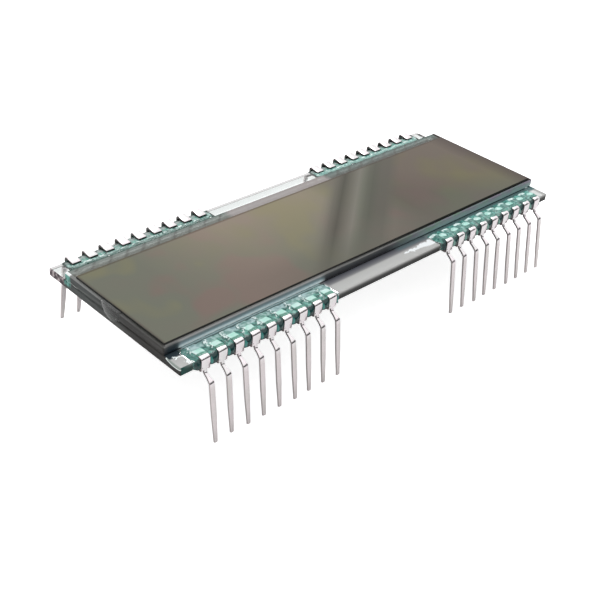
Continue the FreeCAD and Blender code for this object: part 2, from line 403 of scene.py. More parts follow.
def top_painted_light(tree, x, y, upper, left_arris_highlight):
    """Painted light and shade on the front glass's top round the film, as (colour, share): the bare strip,
    the front margin, the left arris's painted highlight and painted shade along the right rim.
    """
    # The bare front margin in painted light, darkening toward the right
    margin = ramp(tree, rising(tree, x, -10.5, 14.0), [
        (0.0, (0.22, 0.22, 0.215)), (0.25, (0.105, 0.107, 0.105)), (0.6, (0.055, 0.058, 0.055)),
        (1.0, (0.018, 0.020, 0.018))])
    return [(colour, product(tree, upper, *shares)) for colour, *shares in [
        (bare_strip_painted_light(tree, x, y), band(tree, y, 7.3, 9.42, 0.05), 0.85),
        (margin, falling(tree, y, -9.64, -9.6, 0.9)),
        (left_arris_highlight, falling(tree, x, -34.64, -34.6, 0.9)),
        # Painted shade along the right rim
        ((0.050, 0.038, 0.036), rising(tree, x, 34.2, 34.4, 0.9)),
    ]]


def ledge_painted_light(tree, x, y, lower):
    """Painted light and shade on the rear glass's two ledges, as (colour, share): the ledges paled, painted
    shade at the front glass's foot and at both front corners, painted reflections and painted glints.
    """
    # Painted shade at the foot of the front glass, darkest against it
    foot = ramp(tree, rising(tree, y, -11.3, -10.0), [
        (0.0, (0.38, 0.38, 0.38)), (0.3, (0.19, 0.19, 0.20)), (0.5, (0.135, 0.14, 0.155)),
        (0.8, (0.105, 0.11, 0.13)), (1.0, (0.070, 0.073, 0.088))])
    near_right = rising(tree, x, 8.5, 11.0)
    near_left = falling(tree, x, -33.2, -32.2)
    left_group = band(tree, x, -32.5, -10.4, 0.4)
    wiggle = wandering(tree, 1.6, 0.45)
    ragged_x = total(tree, x, wiggle)
    ragged_y = total(tree, y, wiggle)
    # Painted ragged glints at the front left corner, beside the bead's end
    glint_grain = noise(tree, coordinates(tree, (3.0, 0.9, 1.0), 0.7), 1.4, 2.0)
    corner_glints = product(tree, band(tree, ragged_x, -33.75, -32.7, 0.15), band(tree, y, -12.95, -12.1, 0.2),
                      rising(tree, glint_grain, 0.47, 0.53, 0.95))
    # A reflection that widens along the front ledge up to the right group
    widening = rising(tree, x, 4.0, 9.5)
    middle_line = total(tree, product(tree, widening, 0.15), 11.6)
    off = combine(tree, "ABSOLUTE", total(tree, y, product(tree, wiggle, 0.4), middle_line))
    spare = less(tree, off, product(tree, widening, 0.5))
    glare = (falling(tree, spare, -0.02, 0.18, 0.95), band(tree, x, 4.0, 9.75, 0.2))
    # Painted shade at the right bead's left end
    bead_end_shade = (band(tree, ragged_x, 9.95, 10.3, 0.1), band(tree, y, -13.0, -10.9, 0.1), 0.9)
    return [(colour, product(tree, lower, *shares)) for colour, *shares in [
        # Painted light paling the front ledge and the back ledge near its edge
        ((0.62, 0.62, 0.61), falling(tree, y, -10.1, -10.0, 0.6)),
        ((0.80, 0.79, 0.79), rising(tree, y, 12.2, 12.5, 0.85)),
        (foot, band(tree, y, -11.2, -9.9, 0.3), band(tree, x, -10.0, 10.0, 1.0), 0.95),
        # Painted shade and painted reflections at the foot of the front glass, darkest at both front corners
        ((0.085, 0.15, 0.15), band(tree, y, -10.8, -10.12, 0.1), left_group, 0.9),
        ((0.46, 0.62, 0.64), band(tree, y, -10.12, -9.8, 0.08), left_group, 0.9),
        ((0.12, 0.165, 0.18), band(tree, y, -10.7, -9.9, 0.3), band(tree, x, 4.0, 9.0, 1.0), 0.9),
        ((0.075, 0.15, 0.155), band(tree, y, -10.95, -9.9, 0.3), near_right, 0.9),
        ((0.016, 0.030, 0.040), band(tree, y, -10.95, -9.9, 0.2), near_left, 0.96),
        # Painted glints along the front left corner
        ((0.88, 0.94, 0.93), band(tree, ragged_y, -11.22, -10.98, 0.08), band(tree, x, -34.4, -32.3, 0.1)),
        ((0.90, 0.95, 0.95), corner_glints),
        ((0.82, 0.85, 0.87), *glare),
        ((0.03, 0.085, 0.09), *bead_end_shade),
    ]]


def make_glass():
    """Soda-lime glass with a few wipe marks; its ground edges scatter, carry streaks and painted light, and
    painted light and shade lie on its level faces.
    """
    material, tree, output = new_material("glass")
    wipe = noise(tree, coordinates(tree, (0.15, 1.2, 1.0), 0.6), 1.0, 4.0)
    clear = add(tree, "ShaderNodeBsdfPrincipled", Transmission_Weight=1.0, IOR=1.52,
                Base_Color=(0.93, 0.97, 0.96, 1.0), Roughness=rising(tree, wipe, 0.4, 0.8, 0.05))
    x, y, z = position(tree)
    edge_painted_light, left_arris_highlight = ground_edge_painted_light(tree, x, y, z)
    ground = add(tree, "ShaderNodeBsdfPrincipled", Base_Color=edge_painted_light, IOR=1.52, Roughness=0.4,
                 Specular_IOR_Level=0.15)
    side = product(tree, rising(tree, uprightness(tree), 0.12, 0.28, 0.96),
                   between(tree, facing(tree, "Y"), 1.0, 0.15, 0.3, 0.6))
    body = mix(tree, side, clear.outputs["BSDF"], ground.outputs["BSDF"])
    level = falling(tree, uprightness(tree), 0.1, 0.2)
    upper = product(tree, level, rising(tree, z, 11.2, 11.4))
    lower = product(tree, level, band(tree, z, 10.2, 10.43, 0.02))
    # Painted light and shade on the top round the film and on the ledges
    body = veiled(tree, body, top_painted_light(tree, x, y, upper, left_arris_highlight) + ledge_painted_light(tree, x, y, lower))
    tree.links.new(body, output.inputs["Surface"])
    return material


def make_film():
    """Dark olive-grey polarizing film with a mottled cast, a painted slanted reflection, painted shade along
    its rims and near-black cut edges.
    """
    material, tree, output = new_material("front_film")
    x, y, _ = position(tree)
    cast = noise(tree, coordinates(tree, (0.085, 0.075, 1.0)), 1.0, 2.0, 0.7)
    # The left part
    green_grey = ramp(tree, cast, [
        (0.38, (0.152, 0.148, 0.088)), (0.46, (0.126, 0.131, 0.098)), (0.53, (0.128, 0.128, 0.098)),
        (0.60, (0.156, 0.114, 0.094))])
    middle = product(tree, between(tree, y, 0.1, 0.9, -7.0, 6.0), band(tree, x, -20.0, 9.0, 14.0))
    ochre = ramp(tree, cast, [(0.38, (0.225, 0.195, 0.115)), (0.60, (0.235, 0.190, 0.145))])
    warm = blend(tree, middle, green_grey, ochre)
    # The right part
    mauve = ramp(tree, cast, [
        (0.40, (0.076, 0.079, 0.044)), (0.50, (0.082, 0.066, 0.047)), (0.60, (0.092, 0.064, 0.050))])
    olive = ramp(tree, cast, [
        (0.40, (0.116, 0.100, 0.043)), (0.52, (0.108, 0.087, 0.050)), (0.60, (0.106, 0.080, 0.058))])
    toward_corner = position_along(tree, x, y, 0.7, 0.7)
    brown = blend(tree, rising(tree, toward_corner, 10.0, 17.0), mauve, olive)
    ground = blend(tree, rising(tree, x, 4.0, 13.0), warm, brown)
    # The slanted reflection between them
    across = position_along(tree, x, y, 0.632, -0.775)
    sheen = ramp(tree, rising(tree, across, 0.0, 9.0), [
        (0.0, (0.13, 0.12, 0.095)), (0.13, (0.086, 0.079, 0.060)), (0.22, (0.040, 0.038, 0.025)),
        (0.31, (0.084, 0.078, 0.059)), (0.45, (0.150, 0.142, 0.116)), (0.53, (0.106, 0.110, 0.082)),
        (0.60, (0.074, 0.077, 0.055)), (0.68, (0.056, 0.058, 0.040)), (0.80, (0.070, 0.064, 0.048)),
        (1.0, (0.074, 0.066, 0.050))])
    reach = product(tree, band(tree, across, 0.2, 9.0, 1.6), between(tree, y, 0.7, 1.0, -9.0, -3.0), 0.9)
    with_sheen = blend(tree, reach, ground, sheen)
    # A darker part of the painted reflection, toward the front edge from the middle to the right
    near = product(tree, falling(tree, y, -9.6, -4.0, 0.6), rising(tree, x, -20.0, -8.0))
    with_sheen = blend(tree, near, with_sheen, (0.086, 0.085, 0.064))
    # Painted shade along the rims at the right, back and left
    right = rising(tree, x, 31.0, 34.3, 0.95)
    back = rising(tree, y, 7.1, 7.3, 0.55)
    left = falling(tree, x, -34.6, -34.3, 0.5)
    edge = combine(tree, "MAXIMUM", combine(tree, "MAXIMUM", right, back), left)
    face = add(tree, "ShaderNodeBsdfPrincipled", IOR=1.49, Specular_IOR_Level=0.2,
               Base_Color=blend(tree, edge, with_sheen, (0.045, 0.026, 0.020)),
               Roughness=between(tree, cast, 0.14, 0.22))
    cut = add(tree, "ShaderNodeBsdfPrincipled", Base_Color=(0.012, 0.011, 0.010, 1.0), Roughness=0.5)
    side = rising(tree, uprightness(tree), 0.3, 0.7)
    tree.links.new(mix(tree, side, face.outputs["BSDF"], cut.outputs["BSDF"]), output.inputs["Surface"])
    return material


def make_rear_film():
    """The rear film's dark lacquered back, faintly mottled."""
    material, tree, output = new_material("rear_film")
    cast = noise(tree, coordinates(tree, (0.4, 0.4, 1.0)), 1.0, 3.0)
    colour = ramp(tree, cast, [(0.3, (0.035, 0.035, 0.034)), (0.7, (0.05, 0.05, 0.048))])
    shader = add(tree, "ShaderNodeBsdfPrincipled", IOR=1.49, Base_Color=colour,
                 Roughness=between(tree, cast, 0.3, 0.45))
    tree.links.new(shader.outputs["BSDF"], output.inputs["Surface"])
    return material


def make_veil(name, colour, share):
    """A thin layer that light passes: a share of haze over a tinted clear layer."""
    material, tree, output = new_material(name)
    clear = add(tree, "ShaderNodeBsdfTransparent", Color=(*colour, 1.0))
    haze = add(tree, "ShaderNodeBsdfDiffuse", Color=(*colour, 1.0))
    mottle = noise(tree, coordinates(tree), 1.3, 3.0)
    shares = between(tree, mottle, 0.7 * share, 1.3 * share)
    tree.links.new(mix(tree, shares, clear.outputs["BSDF"], haze.outputs["BSDF"]), output.inputs["Surface"])
    return material


def make_resin(name, tint, density, haze_colour, haze_share, paint=None):
    """Clear cured resin: light goes straight through, is tinted by depth and glints on its skin."""
    material, tree, output = new_material(name)
    clear = add(tree, "ShaderNodeBsdfTransparent", Color=(1.0, 1.0, 1.0, 1.0))
    haze = add(tree, "ShaderNodeBsdfDiffuse", Color=(*haze_colour, 1.0))
    relief = bump(tree, noise(tree, coordinates(tree), 1.1, 2.0), 0.3, 0.05 * MM)
    skin = add(tree, "ShaderNodeBsdfGlossy", Color=(1.0, 1.0, 1.0, 1.0), Roughness=0.06, Normal=relief)
    edge = add(tree, "ShaderNodeFresnel", IOR=1.48, Normal=relief)
    body = mix(tree, haze_share, clear.outputs["BSDF"], haze.outputs["BSDF"])
    if paint:
        # Painted light and shade lie only on the skin that stands off the glass, not on the faces that lie on
        # it
        _, y, z = position(tree)
        proud = less(tree, combine(tree, "ABSOLUTE", y), GLASS_EDGE)
        outer = combine(tree, "MAXIMUM", rising(tree, proud, 0.01, 0.03),
                        rising(tree, z, REAR_TOP + 0.006, REAR_TOP + 0.02))
        body = veiled(tree, body, [(colour, product(tree, share, outer)) for colour, share in paint(tree)])
    tree.links.new(mix(tree, edge.outputs["Fac"], body, skin.outputs["BSDF"]), output.inputs["Surface"])
    inside = add(tree, "ShaderNodeVolumeAbsorption", Color=(*tint, 1.0), Density=density)
    tree.links.new(inside.outputs["Volume"], output.inputs["Volume"])
    return material


def bead_axes(tree, side, turned, wander):
    """On a bead: the way along X from the nearest pin, out from the glass's edge, and up."""
    x, y, z = position(tree)
    shift = wandering(tree, 1.4, wander, 0.2)
    along = around(tree, less(tree, x, side * GROUP_MIDDLE), 0.0)
    out = less(tree, product(tree, y, 1.0 if turned else -1.0), GLASS_EDGE)
    return total(tree, along, shift), total(tree, out, shift), less(tree, z, UNDERSIDE)


def around(tree, along, centre):
    """The way from the nearest of the places that repeat with the pins, one of them at the centre."""
    steps = combine(tree, "DIVIDE", less(tree, along, centre), PITCH)
    share = combine(tree, "FRACT", total(tree, steps, 20.5))
    return product(tree, less(tree, share, 0.5), PITCH)


def spot(tree, along, out, centre, radii, soft):
    """1 inside an oval round the centre, 0 outside."""
    terms = []
    for value, middle, radius in zip((along, out), centre, radii):
        share = combine(tree, "DIVIDE", less(tree, value, middle), radius)
        terms.append(product(tree, share, share))
    return falling(tree, total(tree, *terms), 1.0 - soft, 1.0 + soft)


def ovals(tree, along, out, up, middle_colour, offset):
    """The lens of adhesive between two plates in painted shade, with a paler middle of painted light."""
    face = rising(tree, out, -0.05, 0.15)
    gap = around(tree, along, PITCH / 2)
    whole = spot(tree, gap, up, (0.0, 0.65), (0.90, 0.95), 0.15)
    middle = spot(tree, gap, up, (offset, 0.72), (0.17, 0.46), 0.5)
    return [((0.008, 0.036, 0.036), product(tree, face, whole, 0.95)),
            (middle_colour, product(tree, face, middle, 0.85))]


def clouded(tree, first, second, scale, start=0.35, end=0.65):
    """A colour that wanders between two."""
    cloud = noise(tree, coordinates(tree), scale, 2.0)
    return blend(tree, rising(tree, cloud, start, end), first, second)


def broken(tree, scale, low, high):
    """A share that comes and goes in patches."""
    return between(tree, noise(tree, coordinates(tree), scale, 2.0), low, high, 0.38, 0.58)


def paint_front_left(tree):
    """Painted light on the front left bead: the jaws painted pale as if seen through the adhesive, painted
    ragged glints at their left, and painted shade along its inner border.
    """
    along, out, up = bead_axes(tree, -1, False, 0.10)
    # The inner border steps back at each jaw's left side, painted dark along it as painted shade
    start = around(tree, along, -0.65 + PITCH / 2)
    share = rising(tree, start, -PITCH / 2, PITCH / 2)
    border = less(tree, out, product(tree, share, 0.29))
    shaded_bars = product(tree, band(tree, border, -2.88, -2.58, 0.08), between(tree, share, 0.95, 0.45, 0.4, 1.0))
    # Painted light over the adhesive's inner part: a mottled teal cast and pale painted reflections
    haze = clouded(tree, (0.15, 0.33, 0.27), (0.31, 0.44, 0.47), 0.45)
    pale = product(tree, band(tree, out, -2.5, -1.45, 0.3), broken(tree, 1.7, 0.0, 0.55))
    # The jaws, painted pale as if seen through the adhesive and darker near the fold, with painted shade
    # between them
    apart = rising(tree, combine(tree, "ABSOLUTE", along), 0.64, 0.74)
    gap_shade = clouded(tree, (0.02, 0.12, 0.10), (0.12, 0.40, 0.33), 1.5, 0.42, 0.6)
    between_jaws = product(tree, apart, band(tree, out, -1.55, 0.1, 0.3), 0.8)
    on_jaw = band(tree, along, -0.62, 0.66, 0.1)
    low = product(tree, on_jaw, band(tree, out, -0.58, 0.0, 0.2), 0.6)
    jaw = product(tree, on_jaw, band(tree, out, -1.36, -0.52, 0.16), 0.88)
    tint = clouded(tree, (0.44, 0.80, 0.69), (0.72, 0.90, 0.88), 0.8)
    # Painted shade in creases and a painted glint that lean beside each jaw
    lean = total(tree, along, wandering(tree, 2.1, 0.28), product(tree, out, 0.23))
    crease_shade = product(tree, band(tree, lean, -1.42, -1.14, 0.1), band(tree, out, -2.4, -0.3, 0.2),
                     broken(tree, 2.2, 0.2, 0.9))
    inner_crease_shade = product(tree, band(tree, lean, -0.96, -0.80, 0.08), band(tree, out, -2.4, -1.5, 0.2), 0.6)
    glint = product(tree, band(tree, lean, -1.16, -0.92, 0.08), band(tree, out, -2.45, -0.6, 0.2),
                    broken(tree, 2.6, 0.1, 1.0))
    # Painted shade at the bead's left end
    end = product(tree, falling(tree, position(tree)[0], -32.55, -32.4), broken(tree, 3.4, 0.1, 1.0))
    return [(haze, product(tree, band(tree, out, -2.9, -1.3, 0.2), 0.85)), ((0.58, 0.76, 0.76), pale),
            ((0.075, 0.14, 0.14), product(tree, band(tree, out, -3.0, -2.48, 0.1), 0.85)),
            ((0.012, 0.045, 0.050), shaded_bars), (gap_shade, between_jaws), ((0.13, 0.38, 0.29), low), (tint, jaw),
            ((0.015, 0.085, 0.075), crease_shade), ((0.03, 0.16, 0.14), inner_crease_shade), ((0.85, 0.95, 0.94), glint),
            ((0.09, 0.25, 0.22), end), *ovals(tree, along, out, up, (0.06, 0.27, 0.24), -0.42)]


def paint_front_right(tree):
    """Painted light on the front right bead: the jaws painted as pale ovals seen through the adhesive, with
    painted highlight arcs and painted shade in creases between them.
    """
    along, out, up = bead_axes(tree, 1, False, 0.12)
    # Painted shade over the bead's body and its foot, mottled green
    base = clouded(tree, (0.02, 0.15, 0.13), (0.15, 0.46, 0.40), 1.9, 0.40, 0.58)
    body = product(tree, band(tree, out, -2.6, -0.4, 0.3), 0.85)
    low = clouded(tree, (0.02, 0.10, 0.09), (0.12, 0.34, 0.28), 1.8, 0.4, 0.6)
    foot = product(tree, band(tree, out, -0.55, 0.15, 0.3), 0.85)
    # Painted highlight arcs round a place between the jaws, with painted shade inside and beyond them
    beside = around(tree, along, -1.05)
    ahead = total(tree, out, 1.45)
    squares = total(tree, product(tree, beside, beside), product(tree, ahead, ahead))
    reach = total(tree, combine(tree, "SQRT", squares), wandering(tree, 2.3, 0.16))
    sector = product(tree, falling(tree, out, -1.75, -1.55), rising(tree, beside, -0.75, -0.45))
    arc = product(tree, band(tree, reach, 0.30, 0.74, 0.12), sector, broken(tree, 2.6, 0.6, 1.0))
    hollow = product(tree, spot(tree, beside, out, (-0.1, -1.35), (0.55, 0.30), 0.2), 0.85)
    over = product(tree, band(tree, reach, 0.76, 0.95, 0.08), sector, 0.7)
    # The jaws, painted as pale ovals seen through the adhesive, over painted shade
    oval = product(tree, spot(tree, along, out, (0.08, -1.05), (0.66, 0.44), 0.2), 0.9)
    under = product(tree, spot(tree, along, out, (0.02, -0.95), (0.84, 0.62), 0.2), 0.75)
    tint = clouded(tree, (0.33, 0.70, 0.60), (0.58, 0.83, 0.78), 1.6)
    return [(base, body), (low, foot), ((0.02, 0.12, 0.10), over), ((0.03, 0.16, 0.135), hollow),
            ((0.78, 0.94, 0.92), arc), ((0.03, 0.17, 0.14), under), (tint, oval),
            *ovals(tree, along, out, up, (0.20, 0.38, 0.32), -0.36)]


def paint_back(tree, side):
    """Strings of green adhesive along the jaws' inner ends, with painted shade at the jaws' ends and in a
    line before them, painted highlights and a painted shine, darker on the left (side -1).
    """
    along, out, _ = bead_axes(tree, side, True, 0.16)
    if side < 0:
        string_colours = (0.01, 0.08, 0.07), (0.24, 0.52, 0.45)
        shade_line_colour, end_shade_share = (0.07, 0.15, 0.13), 0.9
    else:
        string_colours = (0.06, 0.28, 0.24), (0.44, 0.74, 0.68)
        shade_line_colour, end_shade_share = (0.22, 0.40, 0.36), 0.3
    swing = combine(tree, "COSINE", product(tree, along, 2 * math.pi / PITCH))
    wave = total(tree, out, product(tree, swing, 0.12))
    apart = rising(tree, combine(tree, "ABSOLUTE", along), 0.55, 0.75)
    # Painted shade at the jaws' inner ends and in a line before them; painted highlights on the strings and a
    # painted shine between the jaws
    end = product(tree, band(tree, out, -1.60, -1.14, 0.08), between(tree, apart, end_shade_share, 0.0))
    line = product(tree, band(tree, wave, -2.16, -1.74, 0.1), 0.9)
    green = product(tree, band(tree, wave, -2.0, -1.2, 0.2), 0.85)
    string = clouded(tree, *string_colours, 2.2, 0.43, 0.57)
    bright = product(tree, band(tree, wave, -1.76, -1.46, 0.08), between(tree, apart, 0.1, 0.75),
                     broken(tree, 2.8, 0.0, 1.0))
    squiggle = product(tree, band(tree, out, -1.5, -0.7, 0.3), apart, broken(tree, 2.4, 0.0, 0.8))
    shine = product(tree, band(tree, out, -1.3, -0.2, 0.2), apart, 0.4)
    return [(string, green), ((0.80, 0.92, 0.90), shine), ((0.07, 0.30, 0.24), squiggle),
            (shade_line_colour, line), ((0.03, 0.10, 0.085), end), ((0.85, 0.97, 0.94), bright)]


def make_silver():
    """Printed silver paste."""
    material, tree, output = new_material("silver_paste")
    mottle = noise(tree, coordinates(tree), 3.0, 3.0)
    colour = ramp(tree, mottle, [(0.3, (0.5, 0.49, 0.47)), (0.7, (0.68, 0.66, 0.63))])
    shader = add(tree, "ShaderNodeBsdfPrincipled", Base_Color=colour, Metallic=1.0, Roughness=0.5)
    tree.links.new(shader.outputs["BSDF"], output.inputs["Surface"])
    return material


def make_floor():
    """A pale floor whose camera view is lifted to white, with the object's shadow kept."""
    bpy.ops.mesh.primitive_plane_add(size=FLOOR_SIZE)
    floor = bpy.context.object
    floor.name = "floor"
    material, tree, output = new_material("floor")
    diffuse = add(tree, "ShaderNodeBsdfDiffuse", Color=(0.86, 0.86, 0.86, 1.0))
    path = tree.nodes.new("ShaderNodeLightPath")
    glow = add(tree, "ShaderNodeEmission", Color=(1.0, 1.0, 1.0, 1.0),
               Strength=between(tree, path.outputs["Is Camera Ray"], 0.0, 0.74))
    both = tree.nodes.new("ShaderNodeAddShader")
    tree.links.new(diffuse.outputs["BSDF"], both.inputs[0])
    tree.links.new(glow.outputs["Emission"], both.inputs[1])
    tree.links.new(both.outputs["Shader"], output.inputs["Surface"])
    floor.data.materials.append(material)


def make_world():
    """A white room that is open, and so dark in reflections, low down on the front side."""
    world = bpy.data.worlds.new("studio")
    bpy.context.scene.world = world
    world.use_nodes = True
    tree = world.node_tree
    background = tree.nodes["Background"]
    background.inputs["Color"].default_value = (1.0, 1.0, 1.0, 1.0)
    place = tree.nodes.new("ShaderNodeTexCoord")
    parts = add(tree, "ShaderNodeSeparateXYZ", Vector=place.outputs["Generated"])
    front = falling(tree, parts.outputs["Y"], -0.48, -0.30)
    low = falling(tree, parts.outputs["Z"], 0.42, 0.60)
    mirrored = between(tree, product(tree, front, low), 1.08, 0.06)
    path = tree.nodes.new("ShaderNodeLightPath")
    glossy = path.outputs["Is Glossy Ray"]
    straight = combine(tree, "MAXIMUM", path.outputs["Is Camera Ray"], path.outputs["Is Transmission Ray"])
    other = less(tree, 1.0, combine(tree, "MAXIMUM", glossy, straight))
    strength = total(tree, product(tree, glossy, mirrored), total(tree, straight, product(tree, other, 0.8)))
    tree.links.new(strength, background.inputs["Strength"])


def make_softbox(name, place, target, size, power):
    """A rectangular lamp that looks at the target."""
    data = bpy.data.lights.new(name, "AREA")
    data.shape = "RECTANGLE"
    data.size, data.size_y = size
    data.energy = power
    light = bpy.data.objects.new(name, data)
    light.location = place
    light.rotation_euler = (Vector(target) - Vector(place)).to_track_quat("-Z", "Y").to_euler()
    bpy.context.scene.collection.objects.link(light)


def make_camera():
    """The camera of the photo."""
    data = bpy.data.cameras.new("camera")
    data.lens = CAMERA_LENS
    data.sensor_width = CAMERA_SENSOR
    data.clip_start = 1.0 * MM
    data.clip_end = 10.0
    camera = bpy.data.objects.new("camera", data)
    camera.location = CAMERA_PLACE
    camera.rotation_euler = CAMERA_TURN
    bpy.context.scene.collection.objects.link(camera)
    bpy.context.scene.camera = camera


def finish_with(nodes, material, *names):
    """Gives these solids a material, in every slot."""
    for name in names:
        data = nodes[name].data
        if not data.materials:
            data.materials.append(material)
        for index in range(len(data.materials)):
            data.materials[index] = material


class Shell:
    """Rings of points that are skinned to closed tubes, in millimetres."""

    def __init__(self):
        self.points = []
        self.faces = []

    def tube(self, rings):
        """Skins rings of equal length and closes both ends."""
        start = len(self.points)
        size = len(rings[0])
        for ring in rings:
            self.points.extend(ring)
        for row in range(len(rings) - 1):
            low = start + row * size
            for column in range(size):
                right = (column + 1) % size
                self.faces.append((low + column, low + right, low + size + right, low + size + column))
        self.faces.append(tuple(range(start + size - 1, start - 1, -1)))
        last = start + (len(rings) - 1) * size
        self.faces.append(tuple(range(last, last + size)))

    def piece(self, name, material, sharp_angle):
        """The mesh as an object in metres, smooth up to the sharp angle."""
        mesh = bpy.data.meshes.new(name)
        mesh.from_pydata([tuple(c * MM for c in point) for point in self.points], [], self.faces)
        mesh.materials.append(material)
        mesh.polygons.foreach_set("use_smooth", [True] * len(mesh.polygons))
        mesh.set_sharp_from_angle(angle=sharp_angle)
        mesh.validate()
        piece = bpy.data.objects.new(name, mesh)
        bpy.context.scene.collection.objects.link(piece)
        return piece


def bent_line(points, radii, step):
    """A line through the points with round corners, as points with their unit sideways vectors."""
    places = [points[0]]
    for before, corner, after, radius in zip(points, points[1:], points[2:], radii):
        back = (before - corner).normalized()
        on = (after - corner).normalized()
        half = (math.pi - back.angle(on)) / 2
        reach = radius * math.tan(half)
        centre = corner + (back + on).normalized() * (radius / math.cos(half))
        start = corner + back * reach - centre
        finish = corner + on * reach - centre
        whole = 2 * half
        count = max(2, math.ceil(whole / step))
        for number in range(count + 1):
            share = number / count
            arm = start * math.sin((1 - share) * whole) + finish * math.sin(share * whole)
            places.append(centre + arm / math.sin(whole))
    places.append(points[-1])
    result = []
    for index, place in enumerate(places):
        before = places[max(index - 1, 0)]
        after = places[min(index + 1, len(places) - 1)]
        along = (after - before).normalized()
        result.append((place, Vector((-along.y, along.x))))
    return result


def strip_ring(place, side, width, x, rounding):
    """A ring round a strip of sheet, with rounded arrises: (out, up) place and its sideways vector."""
    ring = []
    half_width = width / 2 - rounding
    half_sheet = SHEET / 2 - rounding
    corners = ((1, 1, 0), (-1, 1, 90), (-1, -1, 180), (1, -1, 270))
    for sign_x, sign_n, first in corners:
        for turn in (0, 45, 90):
            angle = math.radians(first + turn)
            along_x = sign_x * half_width + rounding * math.cos(angle)
            along_n = sign_n * half_sheet + rounding * math.sin(angle)
            point = place + side * along_n
            ring.append((x + along_x, -GLASS_EDGE - point.x, UNDERSIDE + point.y))
    return ring


def strip(shell, line, widths, x, rounding=0.05):
    """Adds a strip of sheet along a bent line, as wide as said at each of its places."""
    shell.tube([strip_ring(place, side, width, x, rounding) for (place, side), width in zip(line, widths)])


def dense(line, spacing):
    """The same bent line with long straight parts divided."""
    result = [line[0]]
    for (start, start_side), (end, end_side) in zip(line, line[1:]):
        count = max(1, math.ceil((end - start).length / spacing))
        for number in range(1, count + 1):
            share = number / count
            result.append((start.lerp(end, share), start_side.lerp(end_side, share).normalized()))
    return result


def pin_width(place):
    """Width of the pin's middle strip at a place along it."""
    if place.y > SHOULDER_TOP:
        return HEAD
    if place.y > SHOULDER_FOOT:
        return HEAD + (NECK - HEAD) * (SHOULDER_TOP - place.y) / (SHOULDER_TOP - SHOULDER_FOOT)
    if place.y > KNEE_UP:
        return NECK + (LEG - NECK) * smooth_step(KNEE_UP + 0.5, KNEE_UP, place.y)
    taper_start = KNEE_UP - TAPER_LENGTH
    if place.y > taper_start:
        return LEG
    return LEG + (LEG_TIP - LEG) * (taper_start - place.y) / (taper_start - TIP_UP)


def make_pin(name, material, chance):
    """One front pin on x = 0: jaw, plate, neck, crank and leg from one strip, with its two lower jaws."""
    shell = Shell()
    tip_shift = chance.uniform(-0.10, 0.10)
    knee_shift = chance.uniform(-0.04, 0.04)
    points = [
        Vector((JAW_TIP_OUT, JAW_UP)), Vector((JAW_BEND_OUT, JAW_UP)),
        Vector((PLATE_OUT, PLATE_TOP)), Vector((PLATE_OUT, NECK_UP)),
        Vector((KNEE_OUT + knee_shift, KNEE_UP)), Vector((TIP_OUT + tip_shift, TIP_UP)),
    ]
    line = dense(bent_line(points, FOLD_RADII, math.radians(10)), 0.45)
    # The flat plate takes its own places, so that the shoulder's step in width is sharp
    flat = [(Vector((PLATE_OUT, up)), Vector((1.0, 0.0))) for up in PLATE_PLACES]
    top, foot = PLATE_PLACES[0], PLATE_PLACES[-1]
    bent = [(place, side) for place, side in line
            if not (abs(place.x - PLATE_OUT) < 0.01 and foot < place.y < top)]
    upper = [(place, side) for place, side in bent if place.y > top or place.x < PLATE_OUT - 0.2]
    line = upper + flat + bent[len(upper):]
    strip(shell, line, [pin_width(place) for place, side in line], 0.0)
    sway = chance.uniform(-0.06, 0.06)
    shell.points = [(x + sway * max(0.0, UNDERSIDE - z) / UNDERSIDE, y, z) for x, y, z in shell.points]
    prong = bent_line([Vector(place) for place in PRONG_LINE], (PRONG_RADIUS,), math.radians(15))
    for sign in (-1, 1):
        strip(shell, prong, [PRONG_WIDTH] * len(prong), sign * PRONG_OFFSET)
    return shell.piece(name, material, math.radians(50))


def place_piece(piece, middle, turned):
    """Bakes a half turn and a shift along X in to the mesh, so that the object stays at the origin."""
    sign = -1.0 if turned else 1.0
    for vertex in piece.data.vertices:
        x, y, z = vertex.co
        vertex.co = (middle * MM + sign * x, sign * y, z)


def smooth_step(low, high, value):
    """0 at low, 1 at high, with soft ends."""
    share = min(max((value - low) / (high - low), 0.0), 1.0)
    return share * share * (3 - 2 * share)


def curve_through(controls, count):
    """Points evenly numbered along a smooth curve through the control points."""
    result = []
    last = len(controls) - 1
    for number in range(count + 1):
        way = number * last / count
        index = min(int(way), last - 1)
        t = way - index
        four = [controls[min(max(index + step, 0), last)] for step in (-1, 0, 1, 2)]
        result.append(tuple(
            0.5 * (2 * b + (c - a) * t + (2 * a - 5 * b + 4 * c - d) * t * t
                   + (3 * b - a - 3 * c + d) * t ** 3)
            for a, b, c, d in zip(*four)
        ))
    return result


def pin_share(off, along):
    """How much of a pin's side view a place takes, by its way off the pin and along the skin."""
    steep = smooth_step(0.45, 0.62, along)
    hollow = min(max((off - 0.62) / 0.65, 0.0), 1.0)
    lens = math.sqrt(1 - (1 - hollow) ** 2)
    return (1 - smooth_step(0.50, 1.15, off)) * (1 - steep) + (1 - lens) * steep


def lumps_at(x, out, up, seed):
    """The unevenness of a bead's skin."""
    place = Vector((x * 1.1 + seed, out * 1.3, up * 1.3))
    return field.noise(place * 1.2) + 0.6 * field.noise(place * 2.7) + 0.3 * field.noise(place * 5.1)


def settled(out, up, height):
    """A place on the skin, drawn to the glass as the height goes from 1 to 0."""
    top = GLASS + ON_GLASS
    rest_up = min(max(up, 0.12), top) if out > -0.1 else top
    rest_out = min(out, ON_GLASS)
    return rest_out + (out - rest_out) * height, rest_up + (up - rest_up) * height


